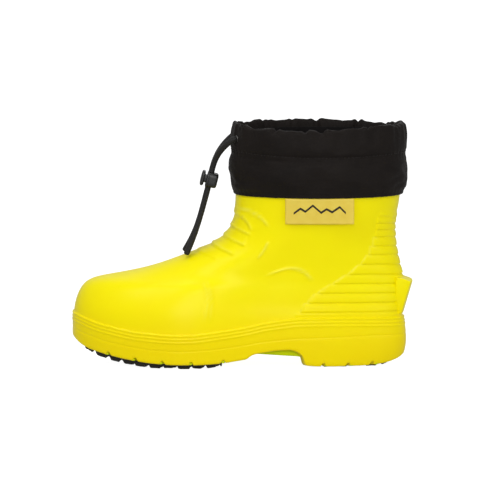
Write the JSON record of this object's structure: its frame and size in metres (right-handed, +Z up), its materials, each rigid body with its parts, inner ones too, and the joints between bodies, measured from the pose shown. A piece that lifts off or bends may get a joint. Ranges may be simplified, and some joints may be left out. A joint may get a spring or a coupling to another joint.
{
  "type": "winter boot",
  "caption": "Left slip-on winter boot: moulded foam shell, lime sole plate, rubber tread, nylon drawcord collar with cord lock and a removable fleece liner.",
  "frame": {"origin": "on the ground, under the middle of the heel", "axes": "+Z up, toe towards -X, heel towards +X, outer (lateral) side of the left foot towards -Y"},
  "size_m": [0.3122, 0.1179, 0.221],
  "materials": {
    "shell_foam": "smooth moulded foam, soft sheen",
    "plate_foam": "matte moulded foam",
    "tread_rubber": "matte rubber",
    "collar_nylon": "plain-weave nylon",
    "lining_nylon": "plain-weave nylon",
    "thread": "twisted thread",
    "label_film": "translucent soft film",
    "eyelet_metal": "dark nickel",
    "cord": "braided cord",
    "lock_plastic": "moulded, satin",
    "spring_steel": "drawn wire",
    "liner_cloth": "woven",
    "fleece": "pile fleece",
    "binding_tape": "ribbed tape",
    "insole_felt": "pressed felt"
  },
  "bodies": {
    "boot": {"shell": "shell_foam", "sole_plate": "plate_foam", "forefoot_tread": "tread_rubber", "heel_tread": "tread_rubber", "gaiter_outer": "collar_nylon", "gaiter_lining": "lining_nylon", "hem_thread": "thread", "tunnel_thread": "thread", "eyelet_lateral": "eyelet_metal", "eyelet_medial": "eyelet_metal", "eyelet_washer_lateral": "eyelet_metal", "eyelet_washer_medial": "eyelet_metal", "drawcord": "cord", "liner_outer": "liner_cloth", "liner_fleece": "fleece", "liner_binding": "binding_tape", "liner_pull_loop": "binding_tape", "insole": "insole_felt"},
    "cord_tails": {"cord_tail_lateral": "cord", "cord_tail_medial": "cord"},
    "cord_lock": {"cord_lock_body": "lock_plastic", "cord_lock_spring": "spring_steel"},
    "lock_button": {"cord_lock_plunger": "lock_plastic"},
    "label": {"label_tab": "label_film"}
  },
  "joints": [
    {"name": "cord_swing", "type": "hinge", "parent": "boot", "child": "cord_tails", "pos_m": [-0.10699, 0, 0.2085], "axis": [0, 1, 0], "range_deg": [0, 60]},
    {"name": "lock_slide", "type": "slide", "parent": "cord_tails", "child": "cord_lock", "axis": [0.2419, 0, 0.9703], "range_m": [-0.008, 0.008]},
    {"name": "plunger_press", "type": "slide", "parent": "cord_lock", "child": "lock_button", "axis": [0.9703, 0, -0.2419], "range_m": [0, 0.0014], "stiffness_N_per_m": 400, "springref_m": -0.002, "deforming": ["cord_lock_spring"]},
    {"name": "label_lift", "type": "hinge", "parent": "boot", "child": "label", "pos_m": [-0.0271, -0.0525, 0.1574], "axis": [-1, 0, 0], "range_deg": [0, 45], "stiffness_Nm_per_rad": 0.002}
  ]
}
